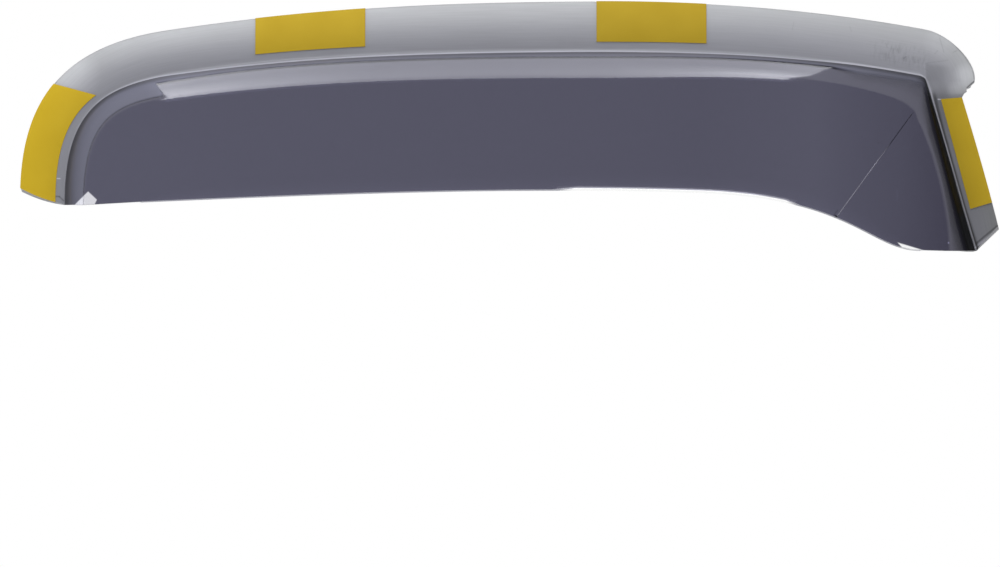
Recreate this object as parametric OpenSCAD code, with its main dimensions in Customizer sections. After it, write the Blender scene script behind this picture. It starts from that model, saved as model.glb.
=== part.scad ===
// Window rain deflector for the left door of a truck: one smoked sheet, thermoformed into a visor
// with a bonding flange round three sides, and four foam tape pads under their peel-off liners.
// The visor is seen from outside when it is looked at along +Y: X runs forward, Z runs up.
// Outlines are drawn in that view and depth is added along Y. The row's origin is the middle of
// the front pad's bonding face.

/* [Sheet] */
// Thickness of the sheet
sheet_t = 3; // [2:0.1:4]
// Angle of the wall between flange and visor, from the flange's plane
wall_angle = 70; // [60:1:76]
// Angle of the same wall at the top of the front side
front_wall_angle = 77; // [70:1:80]
// Angle of the same wall at the foot of the front side
toe_wall_angle = 70; // [64:1:80]
// Tangent length of the fillet at the wall's foot
foot_tangent = 2; // [1:0.1:3]
// Tangent length of the round roll from the wall to the shoulder
roll_tangent = 7; // [3:0.5:9]
// Turn at the shoulder's inner edge, where the flat face begins
brow_bend = 12; // [4:1:16]
// Tangent length of the rounding at that edge
brow_tangent = 1.5; // [0.5:0.1:2.5]

/* [Crease] */
// Height at which the rear corner of the crease runs out into the top
rear_corner_z = 106; // [90:1:115]
// Length from the rear end to that place
rear_corner_x = 93; // [70:1:120]
// Length from the rear end to the crown, the crease's highest place
crown_x = 430; // [380:1:480]
// Height of the crown
crown_z = 123.5; // [118:0.5:135]
// Length from the rear end to the front corner
front_x = 689; // [665:1:720]
// Height of the front corner
front_z = 102.4; // [96:0.2:108]
// Length over which the top of the crease turns into the front corner
corner_in = 9; // [5:0.5:16]
// Length over which the front corner turns into the side
corner_out = 7; // [4:0.5:10]
// Lean of the front side away from upright
front_lean = 16.5; // [10:0.5:22]
// Length of the front side below its corner
front_drop = 145; // [120:1:160]

/* [Visor] */
// Depth of the visor's face at the shoulder below the crown
brow_depth = 14.5; // [11:0.5:18]
// Tilt of the face, which brings its lower edge further out
face_tilt = 5; // [2:0.5:8]
// Width of wall and shoulder together at the rear
brow_rear = 17.5; // [14:0.5:22]
// Width of wall and shoulder together below the crown
brow_top = 19; // [16:0.5:24]
// Width of wall and shoulder together at the lower front end
brow_front = 24; // [20:0.5:28]
// Length from the rear end to the place where the lower edge starts to drop
knee_x = 509; // [470:1:540]
// Height of that place
knee_z = 9.5; // [4:0.5:16]
// Length from the rear end to the front of the drop
lobe_x = 684; // [660:1:696]
// Width of the bevel on the lower edge before and in the drop
lip_w = 2.8; // [1:0.1:3.5]
// Width of the bevel on the rest of the lower edge
lip_thin = 0.6; // [0.2:0.1:1.5]
// Length from the rear end to the wide bevel's start
lip_start = 390; // [350:1:420]
// Length from the rear end to the wide bevel's end
lip_end = 588; // [560:1:600]

/* [Flange] */
// Width of the flange at its rear end
flange_rear = 36.5; // [28:0.5:45]
// Width of the flange above the crown
flange_top = 39.5; // [30:0.5:48]
// Width of the flange beside the front edge, at its top
flange_front = 24; // [20:0.5:30]
// Width of the flange beside the front edge, at its bottom
flange_toe = 24.5; // [20:0.5:32]
// Length from the front corner to the notch, where the top flange ends and the side flange starts
notch_drop = 19; // [16:0.5:24]
// Overhang of the top flange past the front corner of the crease
tip_reach = 39.5; // [34:0.5:46]
// Drop of the tip below that corner
tip_drop = 4.5; // [0:0.5:8]
// How far the flange curls back from flat, in degrees
flange_curl = 20; // [5:1:30]
// Bevel on the flange's two cut ends
end_bevel = 3; // [1:0.1:3.5]
// How far the flange's rear end is bowed out past a straight cut
end_bow = 1.6; // [0:0.1:3]

/* [Pads] */
// Clear strip between the pads and the crease
pad_margin = 7; // [5:0.5:9]
// Clear strip between the front side pad's lower end and the crease
pad_toe_margin = 4.5; // [3:0.5:9]
// Thickness of the foam tape
foam_t = 0.8; // [0.5:0.1:2]
// Thickness of the liner
liner_t = 0.2; // [0.1:0.05:0.4]
// Length of a top pad
pad_len = 88; // [60:1:100]
// Length from the rear end to the middle of the rear top pad
pad_rear_x = 197; // [160:1:230]
// Length from the rear end to the middle of the front top pad
pad_front_x = 470; // [440:1:520]
// Height at which the rear side pad ends on the rim
pad_rear_z = 97; // [85:1:105]
// Drop of that end from the rim to the crease
pad_rear_drop = 11; // [2:0.5:16]
// Height at which the front side pad ends on the rim, below the tip
pad_toe_z = 2; // [-5:1:20]
// Drop of that end from the rim to the crease
pad_toe_drop = 6.5; // [1:0.5:14]

/* [Crack] */
// Length from the rear end to the crack's foot on the lower edge
crack_x = 617; // [600:1:630]
// Width of the crack's mouth
crack_w = 0.8; // [0.4:0.1:1.2]
// Depth of the crack at its foot
crack_depth = 1.2; // [0.4:0.1:2]

/* [Detail] */
// Length of the facets along the gentle curves
long_step = 17; // [12:1:24]
// Length of the facets round the corners
short_step = 7; // [5:1:12]

/* [Hidden] */

SMOKE = [0.35, 0.35, 0.41];
FOAM = [0.16, 0.16, 0.17];
LINER = [0.78, 0.66, 0.2];

// Directions of the top and the front side at the crease's front corner, and places along them
side_dir = [sin(front_lean), -cos(front_lean)];
top_dir = [cos(11), -sin(11)];
corner = [front_x, front_z];
crease_in = corner - corner_in * top_dir;
crease_out = corner + corner_out * side_dir;
corner_chord = norm(crease_out - crease_in);
corner_pull = 0.72;
notch = corner + notch_drop * side_dir;
toe = corner + front_drop * side_dir;
tip = corner + [tip_reach, -tip_drop];

// An outline is a list of knots, one at each station of the visor: rear end, rear corner, crown,
// front corner, tip, notch and front end. A knot holds x, z, heading, and the reach of its
// handles behind and ahead, as shares of the straight length to the neighbouring knot.
crease = [
  [0, 0, 90, 0, 0.52],
  [rear_corner_x, rear_corner_z, 8.5, 0.47, 0.31],
  [crown_x, crown_z, 0, 0.33, 0.36],
  [crease_in.x, crease_in.y, -11, 0.35, corner_pull * corner_in / corner_chord],
  [crease_out.x, crease_out.y, -90 + front_lean, corner_pull * corner_out / corner_chord, 0],
  [notch.x, notch.y, -90 + front_lean, 0, 0.33],
  [toe.x, toe.y, -90 + front_lean, 0.33, 0]
];

// Outer edge of the flange
rim = [
  [-0.96 * flange_rear, 0.29 * flange_rear, 89, 0, 0.43],
  [rear_corner_x - 0.28 * flange_top, rear_corner_z + 0.86 * flange_top, 8.5, 0.475, 0.345],
  [crown_x, crown_z + flange_top, 0, 0.355, 0.336],
  [corner.x, corner.y + 0.97 * flange_top, -10.5, 0.33, 0.36],
  [tip.x, tip.y, -105, 0.26, 0],
  [notch.x + flange_front, notch.y + 0.08 * flange_front, -73, 0, 0.33],
  [toe.x + 0.73 * flange_toe, toe.y + 0.7 * flange_toe, -76, 0.33, 0]
];

// Inner edge of the shoulder, where the flat face begins
brow = [
  [brow_rear, 0, 90, 0, 0.62],
  [rear_corner_x + 0.37 * brow_top, rear_corner_z - 0.9 * brow_top, 7.5, 0.45, 0.34],
  [crown_x, crown_z - brow_top, 0, 0.34, 0.33],
  [corner.x - 1.17 * brow_front, corner.y - 0.63 * brow_front, -18, 0.33, 0.33],
  [corner.x - 0.38 * brow_front, corner.y - 1.12 * brow_front, -50, 0.33, 0.33],
  [corner.x - 0.23 * brow_front, corner.y - 1.48 * brow_front, -64, 0.33, 0.22],
  [toe.x - brow_front, toe.y, -92, 0.33, 0]
];

// Lower edge: a long shallow arc, then the drop to the front lobe
hem = [
  [brow_rear, 0, 2.5, 0, 0.33],
  [knee_x, knee_z, -2, 0.33, 0.67],
  [lobe_x, toe.y, 0, 0.22, 0.33],
  [toe.x - brow_front, toe.y, 0, 0.33, 0]
];

// Where the face's ribs meet the lower edge, station by station. The crack is the rib at the tip
// station, so its neighbours run beside it.
crack_u = 4;
crack_du = 0.02;
hem_stations = [
  [0, 0.67 * rear_corner_x], [1, 0.35 * crown_x], [2, crown_x], [3, crack_x - 1.33 * brow_front],
  [crack_u - crack_du, crack_x - crack_w / 2], [crack_u, crack_x],
  [crack_u + crack_du, crack_x + crack_w / 2], [5, crack_x + 1.04 * brow_front], [6, lobe_x]
];

// Share of the curl along the stations: the front side is flat
curl_share = [[0, 1], [3, 1], [4, 0.55], [5, 0], [6, 0]];

function heading(angle) = [cos(angle), sin(angle)];

function cubic(a, b, c, d, t) =
  (1 - t) ^ 3 * a + 3 * (1 - t) ^ 2 * t * b + 3 * (1 - t) * t ^ 2 * c + t ^ 3 * d;

// Place on the stretch from knot k to knot n. A knot without reach on that side starts or ends it
// straight, at a sharp corner.
function stretch(k, n, t) =
  let (
    a = [k[0], k[1]],
    d = [n[0], n[1]],
    chord = norm(d - a),
    b = k[4] > 0 ? a + chord * k[4] * heading(k[2]) : a + (d - a) / 3,
    c = n[3] > 0 ? d - chord * n[3] * heading(n[2]) : d - (d - a) / 3
  )
  cubic(a, b, c, d, t);

// Place on an outline at station u
function along(outline, u) =
  let (i = min(floor(u), len(outline) - 2))
  stretch(outline[i], outline[i + 1], u - i);

// Place on the round of a corner b, from a to c
function rounded(a, b, c, t) = (1 - t) ^ 2 * a + 2 * (1 - t) * t * b + t ^ 2 * c;

// Place of the view with depth y
function lift(p, y) = [p.x, y, p.y];

// Depth of the flat face under a place of the view
function face_y(p) = -brow_depth - (crown_z - brow_top - p.y) * tan(face_tilt);

// Height of the lower edge by length, and width of its bevel
HEM_LINE = [for (i = [0 : 120]) along(hem, i / 40)];
function hem_z(x) = lookup(x, HEM_LINE);
function lip_at(x) =
  lookup(x, [
    [lip_start, lip_thin], [lip_start + 7 * lip_w, lip_w], [lip_end - 4 * lip_w, lip_w], [lip_end, lip_thin]
  ]);

// How far the flange has curled back at distance r from the crease, when it is w wide
function curl_y(r, w, angle) =
  angle < 0.5 ? 0 : let (radius = w / sin(angle)) radius - sqrt(radius ^ 2 - r ^ 2);

// The ribs at the pads' free ends lie along those ends. Each joins a place of the rim to one of the
// crease, and the rim's share of each station is shifted to suit. Top pads are cut upright.
function by_height(outline, start) =
  [for (i = [50 : -1 : 0]) let (u = start + i / 50) [along(outline, u).y, u]];
function by_length(outline) = [for (i = [0 : 100]) let (u = 1 + i / 50) [along(outline, u).x, u]];
function rising(rows) = rows[0][0] < rows[1][0] ? rows : [for (i = [len(rows) - 1 : -1 : 0]) rows[i]];
rear_pad_u = lookup(pad_rear_z - pad_rear_drop, rising(by_height(crease, 0)));
toe_pad_u = lookup(pad_toe_z - pad_toe_drop, rising(by_height(crease, 5)));
top_cuts = [for (x = [pad_rear_x, pad_front_x]) for (end = [-pad_len / 2, pad_len / 2]) x + end];
top_pad_u = [for (x = top_cuts) lookup(x, by_length(crease))];
rim_shift = concat(
  [[0, 0], [rear_pad_u, lookup(pad_rear_z, rising(by_height(rim, 0)))], [1, 1]],
  [for (i = [0 : 3]) [top_pad_u[i], lookup(top_cuts[i], by_length(rim))]],
  [[3, 3], [5, 5], [toe_pad_u, lookup(pad_toe_z, rising(by_height(rim, 5)))], [6, 6]]
);
function rim_at(u) = along(rim, lookup(u, rim_shift));
function margin(u) = lookup(u, [[5, pad_margin], [toe_pad_u, pad_toe_margin]]);

// Places on the flange at distance r from the crease, on the rib that leaves c in direction out
BOW_END = 0.15;
function flange_at(u, c, out, r, w) =
  c + r * out - [0, 4 * end_bow * r / w * (1 - r / w) * max(0, 1 - u / BOW_END)];

PAD_ROWS = 5;
FACE_ROWS = [0.22, 0.45, 0.7, 0.88];

// One rib of the outer skin at station u, from the flange's rim to the lower edge
function rib(u) =
  let (
    c = along(crease, u),
    e = rim_at(u),
    s = along(brow, u),
    w = norm(e - c),
    out = (e - c) / w,
    q = norm(s - c),
    in = (s - c) / q,
    curl = flange_curl * lookup(u, curl_share),
    steep = lookup(u, [[3, wall_angle], [4.5, front_wall_angle], [6, toe_wall_angle]]),
    wall = [cos(steep), -sin(steep)],
    ys = face_y(s),
    fall = tan(brow_bend) + face_y(s) - face_y(s + in),
    shoulder = [1, -fall] / norm([1, fall]),
    qk = (-ys - q * fall) / (tan(steep) - fall),
    knee = [qk, -qk * tan(steep)],
    roll = min(roll_tangent, 0.7 * (norm(knee) - foot_tangent), 0.8 * (q - qk - brow_tangent)),
    w1 = knee - roll * wall,
    w2 = knee + roll * shoulder,
    foot_out = [-foot_tangent, curl_y(foot_tangent, w, curl)],
    foot_in = foot_tangent * wall,
    bend_in = [q, ys] - brow_tangent * shoulder,
    hx = lookup(u, hem_stations),
    h = [hx, hem_z(hx)],
    face = (h - s) / norm(h - s),
    bend_out = s + brow_tangent * face,
    low = h + [0, lip_at(hx)],
    section = concat(
      [for (t = [1 / 3, 2 / 3]) rounded(foot_out, [0, 0], foot_in, t)],
      [foot_in],
      [for (t = [0 : 0.25 : 1]) rounded(w1, knee, w2, t)],
      [bend_in]
    )
  )
  concat(
    [for (i = [0 : PAD_ROWS])
      let (r = w - (w - margin(u)) * i / PAD_ROWS) lift(flange_at(u, c, out, r, w), curl_y(r, w, curl))],
    [lift(flange_at(u, c, out, foot_tangent, w), foot_out.y)],
    [for (p = section) p.x < 0 ? lift(c - p.x * out, p.y) : lift(c + p.x * in, p.y)],
    [rounded(lift(c + bend_in.x * in, bend_in.y), lift(s, ys), lift(bend_out, face_y(bend_out)), 0.5)],
    [lift(bend_out, face_y(bend_out))],
    [for (t = FACE_ROWS) let (p = s + t * (h - s)) lift(p, face_y(p))],
    [lift(low, face_y(low))]
  );

// Stations of the pads' ends
pad_ends = [
  [0, rear_pad_u], [top_pad_u[0], top_pad_u[1]], [top_pad_u[2], top_pad_u[3]], [5, toe_pad_u]
];

// Stations that every build keeps, in order, and the ribs between them
fixed = [
  0, pad_ends[0][1], 1, pad_ends[1][0], pad_ends[1][1], 2, pad_ends[2][0], pad_ends[2][1], 3,
  crack_u - crack_du, crack_u, crack_u + crack_du, 5, pad_ends[3][1], 6
];
function order(list) =
  len(list) < 2 ? list :
  let (pivot = list[0])
  concat(
    order([for (v = list) if (v < pivot) v]),
    [pivot],
    order([for (v = list) if (v > pivot) v])
  );
STOPS = order(fixed);

// Number of facets between two stations, by the longer of rim and shoulder
function facets(a, b) =
  let (
    far = max(norm(rim_at(b) - rim_at(a)), norm(along(brow, b) - along(brow, a))),
    step = a >= 1 && b <= 3 ? long_step : short_step
  )
  max(1, round(far / step));
STATIONS = concat(
  [for (i = [0 : len(STOPS) - 2])
    let (a = STOPS[i], b = STOPS[i + 1], n = facets(a, b))
    for (k = [0 : n - 1]) a + (b - a) * k / n],
  [6]
);
LAST = len(STATIONS) - 1;
function column(u) = [for (i = [0 : LAST]) if (abs(STATIONS[i] - u) < 0.0001) i][0];

RIBS = [for (u = STATIONS) rib(u)];
ROWS = len(RIBS[0]) - 1;
FACE_START = ROWS - len(FACE_ROWS) - 1;

function unit(v) = v / norm(v);

// Direction along a list of points at place i, as the mean of the steps before and after it
function run(points, i) =
  let (
    back = i > 0 ? unit(points[i] - points[i - 1]) : [0, 0, 0],
    ahead = i < len(points) - 1 ? unit(points[i + 1] - points[i]) : [0, 0, 0]
  )
  unit(back + ahead);

// Normal of the skin at rib i and row j, pointing out towards the viewer
FACE_NORMAL = unit([0, -1, tan(face_tilt)]);
function normal(i, j) =
  j > FACE_START ? FACE_NORMAL :
  let (
    a = run([for (k = [max(i - 1, 0) : min(i + 1, LAST)]) RIBS[k][j]], min(i, 1)),
    b = run([for (k = [max(j - 1, 0) : min(j + 1, ROWS)]) RIBS[i][k]], min(j, 1))
  )
  unit(cross(b, a));
RAW_NORMALS = [for (i = [0 : LAST]) [for (j = [0 : ROWS]) normal(i, j)]];

// Each normal is eased with its neighbours' along the sheet, so that the inner skin doesn't fold
// where the crease turns the corner
NORMALS = [for (i = [0 : LAST]) [for (j = [0 : ROWS])
  unit(RAW_NORMALS[max(i - 1, 0)][j] + 2 * RAW_NORMALS[i][j] + RAW_NORMALS[min(i + 1, LAST)][j])]];

// The crack is a groove in the outer skin, deepest at its foot
CRACK_COLUMN = column(crack_u);
function groove(i, j) =
  i == CRACK_COLUMN && j > FACE_START ? crack_depth * (0.35 + 0.65 * (j - FACE_START) / (ROWS - FACE_START)) : 0;

// The flange's ends are bevelled: the outer skin stops short of them, less and less to the crease
function bevel(i, j) =
  j > PAD_ROWS ? [0, 0, 0] :
  let (share = 1 - 0.6 * j / PAD_ROWS)
  i == 0 ? end_bevel * share * unit(RIBS[1][j] - RIBS[0][j]) :
  i == LAST ? end_bevel * share * unit(RIBS[LAST - 1][j] - RIBS[LAST][j]) :
  [0, 0, 0];

OUTER = [for (i = [0 : LAST]) [for (j = [0 : ROWS]) RIBS[i][j] + bevel(i, j) - groove(i, j) * NORMALS[i][j]]];

// The lower edge of the inner skin is not raised by the outer skin's bevel
INNER = [for (i = [0 : LAST]) [for (j = [0 : ROWS])
  let (p = RIBS[i][j], drop = j == ROWS ? lip_at(p.x) : 0)
  p - [0, 0, drop] - sheet_t * NORMALS[i][j]]];

// Middle of the front side pad's bonding face
pad_cols = [for (ends = pad_ends) [column(ends[0]), column(ends[1])]];
pad_t = foam_t + liner_t;
pad_corners = [for (i = pad_cols[3]) for (j = [0, PAD_ROWS]) OUTER[i][j]];
datum = (pad_corners[0] + pad_corners[1] + pad_corners[2] + pad_corners[3]) / 4 - [0, pad_t, 0];

// Closed solid between two skins, each a grid of ribs and rows
module slab(outer, inner) {
  n = len(outer);
  m = len(outer[0]);
  size = n * m;
  points = [for (skin = [outer, inner]) for (line = skin) for (p = line) p - datum];
  function at(side, i, j) = side * size + i * m + j;
  function patch(a, b, c, d) = [[a, c, b], [a, d, c]];
  skins = [for (i = [0 : n - 2]) for (j = [0 : m - 2])
    for (f = concat(
      patch(at(0, i, j), at(0, i, j + 1), at(0, i + 1, j + 1), at(0, i + 1, j)),
      [for (t = patch(at(1, i, j), at(1, i, j + 1), at(1, i + 1, j + 1), at(1, i + 1, j))) [t[0], t[2], t[1]]]
    )) f];
  ends = [for (j = [0 : m - 2])
    for (f = concat(
      patch(at(0, 0, j), at(1, 0, j), at(1, 0, j + 1), at(0, 0, j + 1)),
      patch(at(0, n - 1, j), at(0, n - 1, j + 1), at(1, n - 1, j + 1), at(1, n - 1, j))
    )) f];
  edges = [for (i = [0 : n - 2])
    for (f = concat(
      patch(at(0, i, 0), at(0, i + 1, 0), at(1, i + 1, 0), at(1, i, 0)),
      patch(at(0, i, m - 1), at(1, i, m - 1), at(1, i + 1, m - 1), at(0, i + 1, m - 1))
    )) f];
  polyhedron(points, concat(skins, ends, edges), convexity = 8);
}

// The skin's points under a pad, raised off the sheet by h
function raised(cols, h) =
  [for (i = [cols[0] : cols[1]]) [for (j = [0 : PAD_ROWS]) OUTER[i][j] + h * NORMALS[i][j]]];

module shield() {
  color(SMOKE) slab(OUTER, INNER);
}

module foam(cols) {
  color(FOAM) slab(raised(cols, foam_t), raised(cols, 0));
}

module liner(cols) {
  color(LINER) slab(raised(cols, pad_t), raised(cols, foam_t));
}

shield();
foam(pad_cols[0]);  // foam_rear_side
foam(pad_cols[1]);  // foam_rear_top
foam(pad_cols[2]);  // foam_front_top
foam(pad_cols[3]);  // foam_front_side
liner(pad_cols[0]);  // liner_rear_side
liner(pad_cols[1]);  // liner_rear_top
liner(pad_cols[2]);  // liner_front_top
liner(pad_cols[3]);  // liner_front_side
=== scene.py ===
import math

import bpy
import numpy as np
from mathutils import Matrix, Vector

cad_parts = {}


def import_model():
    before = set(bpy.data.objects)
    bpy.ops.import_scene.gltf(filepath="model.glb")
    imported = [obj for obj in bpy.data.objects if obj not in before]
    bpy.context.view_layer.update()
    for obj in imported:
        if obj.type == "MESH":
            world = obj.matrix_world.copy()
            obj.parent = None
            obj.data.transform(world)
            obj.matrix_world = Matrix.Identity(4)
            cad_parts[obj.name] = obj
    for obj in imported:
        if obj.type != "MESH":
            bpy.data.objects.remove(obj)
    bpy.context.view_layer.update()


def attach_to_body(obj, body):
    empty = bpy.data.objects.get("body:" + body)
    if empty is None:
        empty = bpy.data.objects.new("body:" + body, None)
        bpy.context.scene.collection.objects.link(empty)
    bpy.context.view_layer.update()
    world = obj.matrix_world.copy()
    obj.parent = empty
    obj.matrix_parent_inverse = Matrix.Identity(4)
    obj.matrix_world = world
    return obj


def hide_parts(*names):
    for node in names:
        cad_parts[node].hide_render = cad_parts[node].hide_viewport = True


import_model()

# Window rain deflector: one smoked sheet with a visor, a bonding flange and four taped pads.
# The sheet's outlines and section are those of the CAD part, in millimetres: x forward, z up, y
# inwards, with the flange's plane at y = 0. They are sampled more finely here.

# Sheet. The knee's round takes at most two shares of the wall and of the shoulder.
SHEET_T = 3.0
WALL_ANGLE = 70.0
FRONT_WALL_ANGLE = 77.0
TOE_WALL_ANGLE = 70.0
FOOT_TANGENT = 2.0
ROLL_TANGENT = 7.0
BROW_BEND = 12.0
BROW_TANGENT = 1.5
SHOULDER_BOW = 0.06
ROLL_ON_WALL, ROLL_ON_SHOULDER = 0.7, 0.8

# Crease
REAR_CORNER = (93.0, 106.0)
CROWN = (430.0, 123.5)
FRONT_CORNER = np.array([689.0, 102.4])
CORNER_IN = 5.0
CORNER_OUT = 3.5
CORNER_PULL = 0.72
FRONT_LEAN = 16.5
FRONT_DROP = 145.0
TOP_FALL = 11.0

# Visor
BROW_DEPTH = 14.5
FACE_TILT = 5.0
BROW_REAR = 17.5
BROW_TOP = 19.0
BROW_FRONT = 24.0
KNEE = (509.0, 9.5)
LOBE_X = 684.0
LIP_W = 2.8
LIP_THIN = 0.6
LIP_START = 390.0
LIP_END = 588.0

# Flange. The bevel of its cut ends is spread over BEVEL_SPAN ribs, and only a share of it is left
# at the crease.
FLANGE_REAR = 36.5
FLANGE_TOP = 39.5
FLANGE_FRONT = 24.0
FLANGE_TOE = 24.5
NOTCH_DROP = 19.0
TIP_REACH = 39.5
TIP_DROP = 4.5
FLANGE_CURL = 20.0
END_BEVEL = 3.0
BEVEL_SPAN = 3
BEVEL_AT_CREASE = 0.4
END_BOW = 1.6
BOW_END = 0.15

# Pads
PAD_MARGIN = 7.0
PAD_TOE_MARGIN = 4.5
FOAM_T = 0.8
LINER_T = 0.2
PAD_LEN = 88.0
PAD_REAR_X = 197.0
PAD_FRONT_X = 470.0
PAD_REAR_Z = 97.0
PAD_REAR_DROP = 11.0
PAD_TOE_Z = 2.0
PAD_TOE_DROP = 6.5

# Crack. CRACK_HEAD is the share of its depth at its upper end.
CRACK_X = 617.0
CRACK_W = 0.8
CRACK_DEPTH = 1.2
CRACK_HEAD = 0.35
CRACK_U = 4.0
CRACK_DU = 0.02

# Tear below the flange's front tip: its depth, how much of it the flange's outer rows take, the
# stations of its ends, and the two waves of its edge in radians a station
TEAR = 2.2
TEAR_SHARES = (1, 0.6, 0.25)
TEAR_FROM, TEAR_TO = 4.05, 4.95
TEAR_WAVES = (23, 41)

# Scuffs on the flange: where they fade in and out, along x and by the share from crease to rim
SCUFF_X = (640.0, 660.0, 684.0, 696.0)
SCUFF_SHARE = (0.06, 0.18, 0.45, 0.65)

# Painted shade of a shallow pocket beside the front corner: where it fades in and out along x and
# ends above, how much that upper end leans, and the station that it stops at
POCKET_X = (688.0, 690.5, 700.0, 712.0)
POCKET_Z = (112.0, 115.0)
POCKET_LEAN = 0.15
POCKET_U = 5.3

# The crease's line of light: its place inwards of the crease and its half width, both listed
# (station, millimetres)
LINE_SHIFT = [
    (0, 0), (0.6, -0.4), (0.9, 0.3), (1.05, 1.1), (1.2, 1.2), (1.76, 0.8), (2, 0.5), (2.3, 0.9),
    (2.63, 0.8), (2.8, -0.4), (3, -0.7), (4, -0.1), (4.5, -0.4), (5.3, -0.4), (5.7, 0.2), (6, 0.3),
]
LINE_HALVES = [(0, 0.9), (1, 1.1), (2.6, 1.1), (3, 0.9), (4.3, 0.65), (6, 0.6)]

# Matte wall, painted with shade: an opaque strip whose dark levels stand in for the shade on the
# steep wall. It starts between two distances in from that line, and fades out between two rows
# past its own last one, listed (station, row). Behind BAND_END, the slanting rear end of the long
# reflection, it fades out over WALL_FADE_REAR. BAND_EDGE is the width of that change.
WALL_EDGE = (0.3, 0.85)
WALL_FADE_START = [(2.74, 6), (2.84, 8), (3.2, 8), (3.9, 2)]
WALL_FADE_END = [(2.74, 9), (2.84, 20), (6, 22)]
WALL_FADE_REAR = (20, 25)
BAND_END = ((72.8, 96.8), (80.8, 85.6))
BAND_EDGE = (-0.1, 0.9)

# Shaded line along the crease at the front: its place, its half width, and how dark by station
SHADE_AT, SHADE_HALF = -1.2, 1.3
SHADES = [(4.5, 0), (4.9, 0.75), (6, 1)]

# How finely the sheet is sampled
COLUMN_STEP = 2.2
FLANGE_ROWS = 18
FILLET_ROWS = 8
WALL_ROWS = 5
ROLL_ROWS = 14
SHOULDER_ROWS = 8
BEND_ROWS = 8
FACE_ROWS = 20
PAD_ROWS = 16
PAD_COLUMNS = 8
HEM_STEPS = 40
NORMAL_STEP = 0.004
NORMAL_PASSES = 6
SHARP_ANGLE = 35.0
EDGE_ROUND = 0.25

# A millimetre in metres
MM = 0.001

# Photograph: its size in pixels, and the place of its pixel grid in the drawing
PHOTO_W, PHOTO_H = 1000, 567
MM_PER_PIXEL = 0.8
PHOTO_ZERO = (64.0, 205.0)
CAMERA_DISTANCE = 8.0
SENSOR = 36.0


def heading(angle):
    return np.array([math.cos(math.radians(angle)), math.sin(math.radians(angle))])


def tan(angle):
    return math.tan(math.radians(angle))


def unit(v):
    return v / np.linalg.norm(v)


SIDE = np.array([math.sin(math.radians(FRONT_LEAN)), -math.cos(math.radians(FRONT_LEAN))])
TOP = np.array([math.cos(math.radians(TOP_FALL)), -math.sin(math.radians(TOP_FALL))])
CREASE_IN = FRONT_CORNER - CORNER_IN * TOP
CREASE_OUT = FRONT_CORNER + CORNER_OUT * SIDE
CORNER_CHORD = np.linalg.norm(CREASE_OUT - CREASE_IN)
NOTCH = FRONT_CORNER + NOTCH_DROP * SIDE
TOE = FRONT_CORNER + FRONT_DROP * SIDE
TIP = FRONT_CORNER + (TIP_REACH, -TIP_DROP)
BROW_END = (TOE[0] - BROW_FRONT, TOE[1])

# An outline is a list of knots, one at each station: rear end, rear corner, crown, front corner,
# tip, notch and front end. A knot holds its place, its heading, and the reach of its handles
# behind and ahead, as shares of the straight length to the next knot.
CREASE = [
    ((0, 0), 90, 0, 0.52),
    (REAR_CORNER, 8.5, 0.47, 0.31),
    (CROWN, 0, 0.33, 0.36),
    (CREASE_IN, -TOP_FALL, 0.35, CORNER_PULL * CORNER_IN / CORNER_CHORD),
    (CREASE_OUT, FRONT_LEAN - 90, CORNER_PULL * CORNER_OUT / CORNER_CHORD, 0),
    (NOTCH, FRONT_LEAN - 90, 0, 0.33),
    (TOE, FRONT_LEAN - 90, 0.33, 0),
]
RIM = [
    ((-0.96 * FLANGE_REAR, 0.29 * FLANGE_REAR), 89, 0, 0.43),
    ((REAR_CORNER[0] - 0.28 * FLANGE_TOP, REAR_CORNER[1] + 0.86 * FLANGE_TOP), 8.5, 0.475, 0.345),
    ((CROWN[0], CROWN[1] + FLANGE_TOP), 0, 0.355, 0.336),
    (FRONT_CORNER + (0, 0.97 * FLANGE_TOP), -10.5, 0.33, 0.36),
    (TIP, -105, 0.26, 0),
    (NOTCH + (FLANGE_FRONT, 0.08 * FLANGE_FRONT), -73, 0, 0.33),
    (TOE + np.array([0.73, 0.7]) * FLANGE_TOE, -76, 0.33, 0),
]
BROW = [
    ((BROW_REAR, 0), 90, 0, 0.62),
    ((REAR_CORNER[0] + 0.37 * BROW_TOP, REAR_CORNER[1] - 0.9 * BROW_TOP), 7.5, 0.45, 0.34),
    ((CROWN[0], CROWN[1] - BROW_TOP), 0, 0.34, 0.33),
    (FRONT_CORNER - BROW_FRONT * np.array([1.17, 0.63]), -18, 0.33, 0.33),
    (FRONT_CORNER - BROW_FRONT * np.array([0.38, 1.12]), -50, 0.33, 0.33),
    (FRONT_CORNER - BROW_FRONT * np.array([0.23, 1.48]), -64, 0.33, 0.22),
    (BROW_END, -92, 0.33, 0),
]
HEM = [
    ((BROW_REAR, 0), 2.5, 0, 0.33),
    (KNEE, -2, 0.33, 0.67),
    ((LOBE_X, TOE[1]), 0, 0.22, 0.33),
    (BROW_END, 0, 0.33, 0),
]

# By station: where the ribs meet the lower edge, how much the flange curls, how steep the wall is
HEM_STATIONS = [
    (0, 0.67 * REAR_CORNER[0]), (1, 0.35 * CROWN[0]), (2, CROWN[0]),
    (3, CRACK_X - 1.33 * BROW_FRONT),
    (CRACK_U - CRACK_DU, CRACK_X - CRACK_W / 2), (CRACK_U, CRACK_X),
    (CRACK_U + CRACK_DU, CRACK_X + CRACK_W / 2), (5, CRACK_X + 1.04 * BROW_FRONT), (6, LOBE_X),
]
CURL_SHARE = [(0, 1), (3, 1), (4, 0.55), (5, 0), (6, 0)]
WALL_ANGLES = [(3, WALL_ANGLE), (4.5, FRONT_WALL_ANGLE), (6, TOE_WALL_ANGLE)]


def lookup(x, table):
    return np.interp(x, [row[0] for row in table], [row[1] for row in table])


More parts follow.
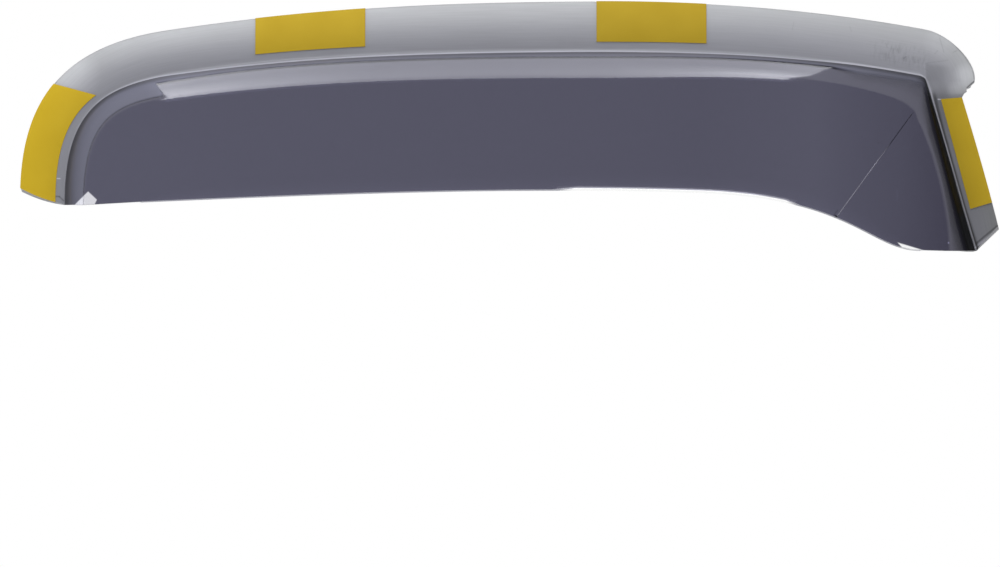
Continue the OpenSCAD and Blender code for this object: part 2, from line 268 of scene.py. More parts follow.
def along(outline, u):
    """Place on an outline at station u."""
    i = min(int(u), len(outline) - 2)
    (a, angle_a, _, ahead), (d, angle_d, behind, _) = outline[i], outline[i + 1]
    a, d, t = np.array(a, float), np.array(d, float), u - i
    chord = np.linalg.norm(d - a)
    b = a + chord * ahead * heading(angle_a) if ahead > 0 else a + (d - a) / 3
    c = d - chord * behind * heading(angle_d) if behind > 0 else d - (d - a) / 3
    return (1 - t) ** 3 * a + 3 * (1 - t) ** 2 * t * b + 3 * (1 - t) * t ** 2 * c + t ** 3 * d


def rounded(a, b, c, t):
    """Place on the round of a corner b, from a to c."""
    return (1 - t) ** 2 * np.asarray(a) + 2 * (1 - t) * t * np.asarray(b) + t ** 2 * np.asarray(c)


def lift(p, y):
    return np.array([p[0], y, p[1]])


def face_y(p):
    """Depth of the flat face under a place of the view."""
    return -BROW_DEPTH - (CROWN[1] - BROW_TOP - p[1]) * tan(FACE_TILT)


HEM_LINE = [tuple(along(HEM, i / HEM_STEPS)) for i in range(3 * HEM_STEPS + 1)]
LIP_LINE = [
    (LIP_START, LIP_THIN), (LIP_START + 7 * LIP_W, LIP_W), (LIP_END - 4 * LIP_W, LIP_W),
    (LIP_END, LIP_THIN),
]


def curl_y(r, w, angle):
    """How far the flange has curled back at distance r from the crease, when it is w wide."""
    if angle < 0.5:
        return 0.0
    radius = w / math.sin(math.radians(angle))
    return radius - math.sqrt(radius ** 2 - r ** 2)


def station_at(outline, start, axis, value):
    """Station at which an outline has a given length (axis 0) or height (axis 1)."""
    end = start + (2 if axis == 0 else 1)
    rows = [(along(outline, u)[axis], u) for u in np.linspace(start, end, 101)]
    return float(lookup(value, sorted(rows)))


# The ribs at the pads' free ends lie along those ends: each joins a place of the rim to one of the
# crease. Top pads are cut upright.
REAR_PAD_U = station_at(CREASE, 0, 1, PAD_REAR_Z - PAD_REAR_DROP)
TOE_PAD_U = station_at(CREASE, 5, 1, PAD_TOE_Z - PAD_TOE_DROP)
TOP_CUTS = [x + end for x in (PAD_REAR_X, PAD_FRONT_X) for end in (-PAD_LEN / 2, PAD_LEN / 2)]
TOP_PAD_U = [station_at(CREASE, 1, 0, x) for x in TOP_CUTS]
RIM_SHIFT = [(0, 0), (REAR_PAD_U, station_at(RIM, 0, 1, PAD_REAR_Z)), (1, 1)]
RIM_SHIFT += [(u, station_at(RIM, 1, 0, x)) for u, x in zip(TOP_PAD_U, TOP_CUTS)]
RIM_SHIFT += [(3, 3), (5, 5), (TOE_PAD_U, station_at(RIM, 5, 1, PAD_TOE_Z)), (6, 6)]
PADS = {
    "rear_side": (0.0, REAR_PAD_U),
    "rear_top": (TOP_PAD_U[0], TOP_PAD_U[1]),
    "front_top": (TOP_PAD_U[2], TOP_PAD_U[3]),
    "front_side": (5.0, TOE_PAD_U),
}


def pad_margin(u):
    return lookup(u, [(5, PAD_MARGIN), (TOE_PAD_U, PAD_TOE_MARGIN)])


def flange_line(u):
    """Crease place, direction to the rim, width and curl of the flange on the rib at station u."""
    c = along(CREASE, u)
    e = along(RIM, lookup(u, RIM_SHIFT))
    w = np.linalg.norm(e - c)
    return c, (e - c) / w, w, FLANGE_CURL * lookup(u, CURL_SHARE)


def flange_point(u, line, r):
    c, out, w, curl = line
    bow = 4 * END_BOW * r / w * (1 - r / w) * max(0, 1 - u / BOW_END)
    return lift(c + r * out - (0, bow), curl_y(r, w, curl))


def steps(rows):
    """Even shares up to 1, one for each row."""
    return np.linspace(0, 1, rows + 1)[1:]


def section(u, foot, end, fall):
    """Wall, knee and shoulder at station u, as (distance in from the crease, depth) points.

    They run from foot, on the flange, to just short of end, the brow. The shoulder's slope is fall.
    """
    steep = lookup(u, WALL_ANGLES)
    wall, shoulder = heading(-steep), unit(np.array([1, -fall]))
    knee_in = (-end[1] - end[0] * fall) / (tan(steep) - fall)
    knee = np.array([knee_in, -knee_in * tan(steep)])
    roll = min(
        ROLL_TANGENT,
        ROLL_ON_WALL * (np.linalg.norm(knee) - FOOT_TANGENT),
        ROLL_ON_SHOULDER * (end[0] - knee_in - BROW_TANGENT),
    )
    foot_in, bend_in = FOOT_TANGENT * wall, np.array(end) - BROW_TANGENT * shoulder
    roll_in, roll_out = knee - roll * wall, knee + roll * shoulder
    # The shoulder is bowed out a little, so it starts steeper and ends flatter than its chord
    start = unit(np.array([1, -fall - SHOULDER_BOW]))
    bow = SHOULDER_BOW * np.linalg.norm(bend_in - roll_out) * np.array([0, -1])
    points = [rounded(foot, (0, 0), foot_in, t) for t in steps(FILLET_ROWS)]
    points += [foot_in + t * (roll_in - foot_in) for t in steps(WALL_ROWS)]
    points += [rounded(roll_in, roll_out - roll * start, roll_out, t) for t in steps(ROLL_ROWS)]
    for t in steps(SHOULDER_ROWS):
        points.append(roll_out + t * (bend_in - roll_out) + t * (1 - t) * bow)
    return points


def rib(u):
    """Points of the outer skin at station u, from the rim to the lower edge."""
    line = flange_line(u)
    c, out, w, curl = line
    s = along(BROW, u)
    q = np.linalg.norm(s - c)
    inward = (s - c) / q
    fall = tan(BROW_BEND) + face_y(s) - face_y(s + inward)
    hem_x = lookup(u, HEM_STATIONS)
    hem = np.array([hem_x, lookup(hem_x, HEM_LINE)])
    bend_out = s + BROW_TANGENT * unit(hem - s)
    low = hem + (0, lookup(hem_x, LIP_LINE))

    rows = [flange_point(u, line, r) for r in np.linspace(w, FOOT_TANGENT, FLANGE_ROWS + 1)]
    foot = (-FOOT_TANGENT, curl_y(FOOT_TANGENT, w, curl))
    points = section(u, foot, (q, face_y(s)), fall)
    for p in points:
        rows.append(lift(c - p[0] * out if p[0] < 0 else c + p[0] * inward, p[1]))
    turn = points[-1] + BROW_TANGENT * unit(np.array([1, -fall + SHOULDER_BOW]))
    a, b = rows[-1], lift(c + turn[0] * inward, turn[1])
    d = lift(bend_out, face_y(bend_out))
    rows += [rounded(a, b, d, t) for t in steps(BEND_ROWS)]
    for t in steps(FACE_ROWS):
        p = bend_out + t * (low - bend_out)
        rows.append(lift(p, face_y(p)))
    return np.array(rows)


FACE_START = FLANGE_ROWS + FILLET_ROWS + WALL_ROWS + ROLL_ROWS + SHOULDER_ROWS + BEND_ROWS
WALL_START = FLANGE_ROWS + FILLET_ROWS


def stations():
    """Stations of the ribs: even steps between the stops that the crack and the pads need."""
    stops = {0, 1, 2, 3, CRACK_U - CRACK_DU, CRACK_U, CRACK_U + CRACK_DU, 5, 6}
    stops = sorted(stops | {u for ends in PADS.values() for u in ends})
    found = []
    for a, b in zip(stops, stops[1:]):
        far = max(np.linalg.norm(along(line, b) - along(line, a)) for line in (RIM, BROW))
        n = max(1, round(far / COLUMN_STEP))
        found += [a + (b - a) * k / n for k in range(n)]
    return np.array(found + [6.0])


def eased(grid, passes):
    """A grid of vectors averaged with its neighbours along the sheet, as unit vectors."""
    for _ in range(passes):
        padded = np.concatenate([grid[:1], grid, grid[-1:]])
        grid = padded[:-2] + 2 * padded[1:-1] + padded[2:]
        grid /= np.linalg.norm(grid, axis=2, keepdims=True)
    return grid


def normals(skin):
    """Normals of a skin of ribs, pointing out towards the viewer."""
    grid = np.cross(np.gradient(skin, axis=1), np.gradient(skin, axis=0))
    grid /= np.linalg.norm(grid, axis=2, keepdims=True)
    grid[:, FACE_START:] = unit(np.array([0, -1, tan(FACE_TILT)]))
    return eased(grid, NORMAL_PASSES)


def datum():
    """Middle of the front side pad's bonding face, where the part's frame has its origin."""
    corners = []
    for u in PADS["front_side"]:
        line = flange_line(u)
        corners += [flange_point(u, line, r) for r in (line[2], pad_margin(u))]
    return sum(corners) / 4 - (0, FOAM_T + LINER_T, 0)


DATUM = datum()


def mesh_object(name, points, faces, materials, face_material=None):
    mesh = bpy.data.meshes.new(name)
    mesh.from_pydata(((points - DATUM) * MM).tolist(), [], faces)
    for material in materials:
        mesh.materials.append(material)
    if face_material is not None:
        mesh.polygons.foreach_set("material_index", face_material)
    mesh.validate()
    mesh.shade_smooth()
    mesh.set_sharp_from_angle(angle=math.radians(SHARP_ANGLE))
    obj = bpy.data.objects.new(name, mesh)
    bpy.context.collection.objects.link(obj)
    return obj


def paint(obj, name, values):
    """Stores one number a vertex, which the material reads."""
    layer = obj.data.attributes.new(name, "FLOAT", "POINT")
    layer.data.foreach_set("value", np.asarray(values, dtype=np.float32).ravel())


def chamfered(outer_next, outer_end, inner_end, inner_next, size):
    """The four points that cut both corners of an edge face, from the outer skin to the inner."""
    across = unit(inner_end - outer_end)
    return [
        outer_end + size * unit(outer_next - outer_end),
        outer_end + size * across,
        inner_end - size * across,
        inner_end + size * unit(inner_next - inner_end),
    ]


def smooth_step(x, low, high):
    t = np.clip((x - low) / (high - low), 0, 1)
    return t * t * (3 - 2 * t)


def within(x, limits):
    """1 between the two middle limits, and smoothly down to 0 at the outer two."""
    return smooth_step(x, *limits[:2]) * (1 - smooth_step(x, *limits[2:]))


def tear_flange(u_of, skins):
    """Breaks the flange off raggedly between its tip and the notch."""
    shares = np.array(TEAR_SHARES)[:, None]
    for c in np.where((u_of > TEAR_FROM) & (u_of < TEAR_TO))[0]:
        _, out, _, _ = flange_line(u_of[c])
        first, second = (wave * u_of[c] for wave in TEAR_WAVES)
        bite = TEAR * (0.5 + 0.5 * math.sin(first) * math.cos(second))
        bite *= math.sin(math.pi * (u_of[c] - TEAR_FROM) / (TEAR_TO - TEAR_FROM))
        for skin in skins:
            skin[c, :len(TEAR_SHARES)] -= bite * lift(out, 0) * shares


def bevel_ends(outer):
    """Bevels the flange's two cut ends on the outside, most at the rim."""
    flange = slice(0, FLANGE_ROWS + 1)
    fade = np.linspace(1, BEVEL_AT_CREASE, FLANGE_ROWS + 1)[:, None]
    for end, step in ((0, 1), (-1, -1)):
        ahead = outer[end + step * BEVEL_SPAN, flange] - outer[end, flange]
        shift = END_BEVEL * fade * ahead / np.linalg.norm(ahead, axis=1, keepdims=True)
        for k in range(BEVEL_SPAN):
            outer[end + step * k, flange] += shift * (1 - k / BEVEL_SPAN)


def sheet_faces(loops, lips):
    """Faces of the closed sheet, and the material of each: 1 on its cut edges and 0 elsewhere.

    A rib's loop runs down the outer skin, round the lower edge, up the inner skin and round the rim.
    """
    columns, count = loops.shape[:2]
    rows = count // 2 - 2
    hem_start, inner_start = rows - 2, rows + 2
    rim_start = inner_start + rows - 2
    faces, kinds = [], []
    for c in range(columns - 1):
        for k in range(count):
            a, b = c * count + k, c * count + (k + 1) % count
            faces.append((a, b, b + count, a + count))
            on_cut = hem_start <= k < inner_start - 1 or rim_start <= k < rim_start + 3
            behind_lip = k == inner_start - 1 and lips[c] > 2 * LIP_THIN
            kinds.append(1 if on_cut or behind_lip else 0)

    # Caps: strips between the two skins at the first and last rib
    near = [count - 1] + list(range(hem_start + 2))
    far = [rim_start] + [rim_start - 1 - k for k in range(hem_start + 2)]
    strip = list(zip(near, near[1:], far[1:], far))
    strip.append((count - 1, rim_start, rim_start + 1, rim_start + 2))
    for c, turn in ((0, -1), (columns - 1, 1)):
        for quad in strip:
            faces.append(tuple(c * count + k for k in quad)[::turn])
            kinds.append(1)
    return faces, kinds


def build_shield(materials):
    """The sheet as one closed mesh: each rib is a loop round both skins, and the ends are capped."""
    u_of = stations()
    outer = np.array([rib(u) for u in u_of])
    out_normals = normals(outer)
    inner = outer - SHEET_T * out_normals
    lips = np.array([lookup(x, LIP_LINE) for x in outer[:, -1, 0]])
    inner[:, -2] = inner[:, -1]
    inner[:, -1, 2] -= lips
    tear_flange(u_of, (outer, inner))

    # The crack is a groove in the outer skin, deepest at its foot
    crack = int(np.argmin(np.abs(u_of - CRACK_U)))
    depth = CRACK_DEPTH * np.linspace(CRACK_HEAD, 1, FACE_ROWS + 1)
    outer[crack, FACE_START:] -= depth[:, None] * out_normals[crack, FACE_START:]
    bevel_ends(outer)

    loops = []
    for o, i in zip(outer, inner):
        hem = chamfered(o[-2], o[-1], i[-1], i[-2], EDGE_ROUND)
        rim = chamfered(i[1], i[0], o[0], o[1], EDGE_ROUND)
        loops.append(np.concatenate([o[1:-1], hem, i[-2:0:-1], rim]))
    loops = np.array(loops)
    faces, kinds = sheet_faces(loops, lips)
    piece = mesh_object("shield_sheet", loops.reshape(-1, 3), faces, materials, kinds)
    paint_shield(piece, u_of, outer, crack, lips)
    return piece


def shaded_wall(u_of, row, x, z, inset):
    """1 on the wall painted with shade, smoothly down to 0 at the crease's line and past its last
    row.
    """
    (ax, az), (bx, bz) = BAND_END
    past_end = ((x - ax) * (az - bz) + (z - az) * (bx - ax)) / math.hypot(bx - ax, bz - az)
    by_band = smooth_step(past_end, *BAND_EDGE)
    first, last = (
        rear + by_band * (lookup(u_of, table)[:, None] - rear)
        for rear, table in zip(WALL_FADE_REAR, (WALL_FADE_START, WALL_FADE_END))
    )
    past_wall = row - WALL_START - WALL_ROWS
    return smooth_step(inset, *WALL_EDGE) * (1 - smooth_step(past_wall, first, last))


def paint_shield(piece, u_of, outer, crack, lips):
    """Stores what the material reads, worked out on the grid of the outer skin."""
    columns, rows = outer.shape[:2]
    row, row_of = np.arange(rows), np.ones((columns, rows))
    x, z = outer[..., 0], outer[..., 2]
    steps_ahead = np.linalg.norm(np.diff(outer[:, FLANGE_ROWS // 2], axis=0), axis=1)
    length = np.concatenate([[0], np.cumsum(steps_ahead)])
    across = np.linalg.norm(outer - outer[:, FLANGE_ROWS + FILLET_ROWS // 2][:, None], axis=2)
    creases = np.array([along(CREASE, u) for u in u_of])
    inward = np.array([unit(along(BROW, u) - along(CREASE, u)) for u in u_of])
    inset = (x - creases[:, :1]) * inward[:, :1] + (z - creases[:, 1:]) * inward[:, 1:]
    inset = inset - lookup(u_of, LINE_SHIFT)[:, None]
    rim_share = row_of * np.clip(1 - row / FLANGE_ROWS, 0, 1)
    # Painted shade of the pocket beside the front corner
    pocket_shade = within(x, POCKET_X) * (u_of < POCKET_U)[:, None]
    pocket_shade *= 1 - smooth_step(z + POCKET_LEAN * (x - POCKET_X[0]), *POCKET_Z)
    shade = np.clip(1 - np.abs(inset - SHADE_AT) / SHADE_HALF, 0, 1) * lookup(u_of, SHADES)[:, None]
    grids = {
        "rim_share": rim_share,
        "inset": inset,
        "on_flange": 1 - smooth_step(inset, *WALL_EDGE),
        # Painted highlight along the crease
        "on_crease_highlight": np.clip(1 - np.abs(inset) / lookup(u_of, LINE_HALVES)[:, None], 0, 1),
        # The wall painted with shade
        "on_shaded_wall": shaded_wall(u_of, row, x, z, inset),
        "shade": shade,
        "station": row_of * u_of[:, None],
        "length": row_of * length[:, None],
        "across": across,
        "scuffed": within(x, SCUFF_X) * within(rim_share, SCUFF_SHARE),
        "pocket_shade": pocket_shade,
        "on_lip": row_of * smooth_step(lips, LIP_THIN, LIP_W)[:, None],
        "face_share": row_of * np.clip((row - FACE_START) / FACE_ROWS, 0, 1),
        "on_crack": row_of * (np.arange(columns) == crack)[:, None] * (row > FACE_START),
    }
    for name, grid in grids.items():
        rim, hem = np.repeat(grid[:, :1], 4, axis=1), np.repeat(grid[:, -1:], 4, axis=1)
        paint(piece, name, np.concatenate([grid[:, 1:-1], hem, grid[:, -2:0:-1], rim], axis=1))


def pad_line(u):
    """Points across the flange at station u, from the rim to a pad's inner edge."""
    line = flange_line(u)
    return [flange_point(u, line, r) for r in np.linspace(line[2], pad_margin(u), PAD_ROWS + 1)]


def pad_skin(us):
    """The flange's outer skin at the stations us, and its normals."""
    behind, skin, ahead = (
        np.array([pad_line(min(max(u + shift, 0), 6)) for u in us])
        for shift in (-NORMAL_STEP, 0, NORMAL_STEP)
    )
    normal = np.cross(np.gradient(skin, axis=1), ahead - behind)
    return skin, normal / np.linalg.norm(normal, axis=2, keepdims=True)


def pad_sheet(name, ends, low, high, material):
    """A thin strip on the flange between two heights over its outer skin."""
    length = np.linalg.norm(along(RIM, ends[1]) - along(RIM, ends[0]))
    us = np.linspace(ends[0], ends[1], max(PAD_COLUMNS, round(length / COLUMN_STEP)) + 1)
    skin, normal = pad_skin(us)
    if ends[0] == 0:
        # The strip at the rear end is bevelled with the flange
        ahead = unit(skin[2, PAD_ROWS // 2] - skin[0, PAD_ROWS // 2])
        fade = np.linspace(1, BEVEL_AT_CREASE, PAD_ROWS + 1)[:, None]
        for k in range(BEVEL_SPAN):
            skin[k] += END_BEVEL * fade * ahead * (1 - k / BEVEL_SPAN)
    points = np.array([skin + high * normal, skin + low * normal]).reshape(-1, 3)
    n, m = skin.shape[:2]
    faces = []
    for i in range(n - 1):
        for j in range(m - 1):
            a, b = i * m + j, (i + 1) * m + j
            faces.append((a, a + 1, b + 1, b))
            faces.append((n * m + b, n * m + b + 1, n * m + a + 1, n * m + a))
    border = [i * m for i in range(n)] + [(n - 1) * m + j for j in range(1, m)]
    border += [i * m + m - 1 for i in range(n - 2, -1, -1)] + [j for j in range(m - 2, 0, -1)]
    for a, b in zip(border, border[1:] + border[:1]):
        faces.append((a, b, b + n * m, a + n * m))
    piece = mesh_object(name, points, faces, [material])
    paint(piece, "station", np.tile(np.repeat(us, m), 2))
    paint(piece, "rim_share", np.tile(np.linspace(1, 0, m), 2 * n))
    return piece


def node_tree(name):
    material = bpy.data.materials.new(name)
    material.use_nodes = True
    tree = material.node_tree
    return material, tree, tree.nodes["Principled BSDF"]


def link(tree, a, b):
    tree.links.new(a, b)


def feed(tree, value, slot):
    """Links a socket to a slot, or sets the slot to a plain value."""
    if isinstance(value, bpy.types.NodeSocket):
        link(tree, value, slot)
    else:
        slot.default_value = value


def attribute(tree, name):
    node = tree.nodes.new("ShaderNodeAttribute")
    node.attribute_name = name
    return node.outputs["Fac"]


def part_place(tree):
    """Place in the part's own frame, in metres."""
    return tree.nodes.new("ShaderNodeTexCoord").outputs["Object"]


def mapped(tree, spot, scale, shift=(0, 0, 0)):
    """A place scaled along its axes, and then shifted."""
    node = tree.nodes.new("ShaderNodeMapping")
    node.inputs["Scale"].default_value = scale
    node.inputs["Location"].default_value = shift
    link(tree, spot, node.inputs["Vector"])
    return node.outputs["Vector"]


def noise(tree, spot, scale, detail=2.0):
    """Noise at a place, with scale cells to each of its units."""
    texture = tree.nodes.new("ShaderNodeTexNoise")
    texture.inputs["Scale"].default_value = scale
    texture.inputs["Detail"].default_value = detail
    link(tree, spot, texture.inputs["Vector"])
    return texture.outputs["Fac"]


def between(tree, factor, low, high, low_in=0.0, high_in=1.0):
    """A number that runs from low to high as factor runs from low_in to high_in."""
    node = tree.nodes.new("ShaderNodeMapRange")
    node.inputs["From Min"].default_value = low_in
    node.inputs["From Max"].default_value = high_in
    node.inputs["To Min"].default_value = low
    node.inputs["To Max"].default_value = high
    link(tree, factor, node.inputs["Value"])
    return node.outputs["Result"]


def ramp(tree, factor, knots):
    """A number read at factor from (input, number) knots, the lowest input first."""
    low, high = knots[0][0], knots[-1][0]
    least = min(number for _, number in knots)
    most = max(number for _, number in knots)
    node = tree.nodes.new("ShaderNodeValToRGB")
    elements = node.color_ramp.elements
    for at, _ in knots[1:-1]:
        elements.new((at - low) / (high - low))
    for element, (_, number) in zip(elements, knots):
        element.color = [(number - least) / (most - least)] * 3 + [1]
    link(tree, between(tree, factor, 0, 1, low, high), node.inputs["Fac"])
    return between(tree, node.outputs["Color"], least, most)


def sum_of(tree, kind, a, b):
    """Two numbers joined by a sum of a kind that the Math node knows. Each may be a socket."""
    node = tree.nodes.new("ShaderNodeMath")
    node.operation = kind
    feed(tree, a, node.inputs[0])
    feed(tree, b, node.inputs[1])
    return node.outputs[0]


def mix(tree, factor, a, b, kind="MIX"):
    """Colour a turned into b by factor. Each may be a colour or a socket.

    Inputs 6 and 7 of a Mix node and its output 2 are the ones for colours.
    """
    node = tree.nodes.new("ShaderNodeMix")
    node.data_type = "RGBA"
    node.blend_type = kind
    feed(tree, factor, node.inputs[0])
    for value, slot in ((a, 6), (b, 7)):
        feed(tree, (*value, 1) if isinstance(value, tuple) else value, node.inputs[slot])
    return node.outputs[2]


def bump(tree, height, strength):
    node = tree.nodes.new("ShaderNodeBump")
    node.inputs["Strength"].default_value = strength
    node.inputs["Distance"].default_value = GRAIN_HEIGHT
    link(tree, height, node.inputs["Height"])
    return node.outputs["Normal"]


def vector_sum(tree, kind, a, b, result="Vector"):
    """Two vectors joined by a sum of a kind that the Vector Math node knows. Each may be a socket."""
    node = tree.nodes.new("ShaderNodeVectorMath")
    node.operation = kind
    feed(tree, a, node.inputs[0])
    feed(tree, b, node.inputs[1])
    return node.outputs[result]


def drawn_place(tree):
    """Place in the drawing, in millimetres, with the depth left out."""
    return mapped(tree, part_place(tree), (1 / MM, 0, 1 / MM), (DATUM[0], 0, DATUM[2]))


def stroke(tree, spot, start, end, width, factor):
    """The number factor on a stroke from start to end, and 1 beside it."""
    start, end = (Vector((x, 0, z)) for x, z in (start, end))
    way = end - start
    offset = vector_sum(tree, "SUBTRACT", spot, start)
    reach = vector_sum(tree, "DOT_PRODUCT", offset, way / way.length_squared, "Value")
    nearest = tree.nodes.new("ShaderNodeVectorMath")
    nearest.operation = "SCALE"
    nearest.inputs[0].default_value = way
    link(tree, between(tree, reach, 0, 1), nearest.inputs["Scale"])
    away = vector_sum(tree, "DISTANCE", offset, nearest.outputs[0], "Value")
    half = width / 2
    return between(tree, away, factor, 1, max(0, half - STROKE_EDGE), half + STROKE_EDGE / 2)


def cloud(tree, spot, middle, radius, factor):
    """The number factor in the middle of a soft round patch, and 1 from its radius on."""
    away = vector_sum(tree, "DISTANCE", spot, Vector((middle[0], 0, middle[1])), "Value")
    return between(tree, away, factor, 1, radius / 3, radius)


def patch(tree, spot, corners):
    """The number 1 inside a convex patch and 0 outside it."""
    inside = 1.0
    for (ax, az), (bx, bz) in zip(corners, corners[1:] + corners[:1]):
        facing = Vector((bz - az, 0, ax - bx)).normalized()
        reach = vector_sum(tree, "DOT_PRODUCT", spot, facing, "Value")
        edge = facing.dot(Vector((ax, 0, az)))
        near = between(tree, reach, 0, 1, edge - PATCH_EDGE, edge + PATCH_EDGE)
        inside = sum_of(tree, "MULTIPLY", inside, near)
    return inside


# The visor turns darker towards the lobe by x in the drawing, in millimetres. Its levels, and
# those of the crack in it, go by the face's share from the brow to the lower edge. Next to the lower
# edge the face is paler, a painted reflection of that edge. The crack is dark at both its ends and
# painted pale between, a painted highlight of the light caught inside it. Colours are linear
# numbers.
VISOR_TINT = (0.1, 0.099, 0.141)
LOBE_TINT = (0.054, 0.052, 0.08)
LOBE_SHARES = [
    (20, 0), (150, 0.1), (430, 0.22), (510, 0.28), (600, 0.15), (632, 0.37), (669, 0.58), (706, 1),
]
HEM_REFLECTION_LEVELS = [(0.88, 1), (0.96, 1.07), (1, 1.25)]
CRACK_LEVELS = [
    (0, 0), (0.3, 0), (0.4, 0.35), (0.5, 1), (0.6, 0.7), (0.8, 1), (0.97, 0.8), (1, 0),
]

# How pale the sheet is, by station, and the hue that each list is multiplied by. The wall turns to
# the knee's list between two distances in from the crease, in millimetres. The flange turns from
# the crease's list to the rim's along RIM_RISE, by its share from crease to rim. The flange's satin
# grey is its own; the change from crease to rim is painted light, painted shade at the crease and
# paler to the rim where the flange curls up to the light. Its low levels at the front are painted
# shade.
# Painted shade: the wall's and the knee's lists darken the steep wall and its knee.
WALL_SHADES = [
    (0, 0.07), (0.7, 0.06), (1, 0.12), (1.76, 0.08), (2.3, 0.1), (2.65, 0.08), (2.85, 0.05),
    (3.05, 0.035), (3.9, 0.02), (4.5, 0.002),
]
KNEE_SHADES = [
    (0, 0.13), (0.8, 0.13), (1, 0.18), (1.76, 0.15), (2.3, 0.17), (2.6, 0.15), (2.9, 0.09),
    (3.05, 0.08), (3.9, 0.06), (4.5, 0.002),
]
KNEE_INSETS = (1.5, 5.0)
CREASE_TINTS = [
    (0, 0.31), (1, 0.26), (1.76, 0.235), (2.3, 0.26), (3, 0.3), (4, 0.3), (4.8, 0.2), (6, 0.2),
]
RIM_TINTS = [
    (0, 0.42), (0.72, 0.49), (0.85, 0.53), (0.96, 0.53), (1.2, 0.47), (2, 0.44), (3, 0.43),
    (3.6, 0.45), (4.3, 0.43), (4.7, 0.3), (4.8, 0.2), (6, 0.2),
]
RIM_RISE = [(0, 0), (0.2, 0.05), (0.42, 0.21), (0.7, 0.62), (0.97, 1), (1, 0.8)]
# Painted highlight along the crease, listed (station, level)
CREASE_HIGHLIGHTS = [
    (0, 0.38), (0.5, 0.38), (1, 0.58), (2, 0.55), (3, 0.47), (4, 0.42), (4.6, 0.46), (6, 0.5),
]
VISOR_HUE = (0.985, 0.985, 1.14)
KNEE_HUE = (0.975, 0.985, 1.26)
CREASE_HUE = (0.985, 0.99, 1.1)
RIM_HUE = (0.985, 1.0, 1.02)

# Finish of the sheet: its roughness, and how see-through its flange is. The wall is rough only where
# its share is between the two of WALL_ROUGH_FADE, or above.
ACRYLIC_IOR = 1.49
ACRYLIC_GLOSS = 0.1
VISOR_ROUGH, FLANGE_ROUGH, WALL_ROUGH = 0.03, 0.38, 0.5
WALL_ROUGH_FADE = (0.85, 1)
FLANGE_CLEAR = 0.45

# Brushed and scuffed streaks of the flange: cells a millimetre along it and across it, and how
# bright they leave it. NOISE_RANGE is where most values of a noise lie, and scuffs use its top half.
BRUSH_CELLS, SCUFF_CELLS = (0.025, 0.9, 1), (0.42, 0.14, 1)
BRUSH_LEVELS, SCUFF_LEVEL, POCKET_SHADE = (0.95, 1.05), 0.74, 0.8
NOISE_RANGE, SCUFF_RANGE = (0.3, 0.7), (0.46, 0.7)
STREAK_DETAIL = 4.0

# Edges, tape and liners. Grain is in cells a metre, and its height in metres. The liners' levels
# are painted shade: they go by station, and fall to LINER_INSIDE at the strip's inner edge.
EDGE_COLOUR = (0.6, 0.6, 0.62)
EDGE_DEEP = (0.45, 0.45, 0.47)
EDGE_ROUGH, LIP_ROUGH = 0.35, 0.1
EDGE_CLEAR = 0.6
LIP_COLOUR = (0.97, 0.97, 0.97)
LINER_COLOUR = (0.43, 0.294, 0.015)
LINER_DEEP = (0.405, 0.274, 0.012)
LINER_SHADES = [(0, 1.32), (0.8, 1.2), (1.2, 0.95), (2, 0.84), (2.4, 0.84), (5, 0.95), (6, 0.93)]
LINER_INSIDE = 0.84
FOAM_COLOUR = (0.03, 0.03, 0.033)
FOAM_CELL = (0.06, 0.06, 0.063)
EDGE_GRAIN, LINER_PATCHES, LINER_GRAIN, FOAM_GRAIN = 900, 35, 2500, 3000
GRAIN_HEIGHT = 0.0001

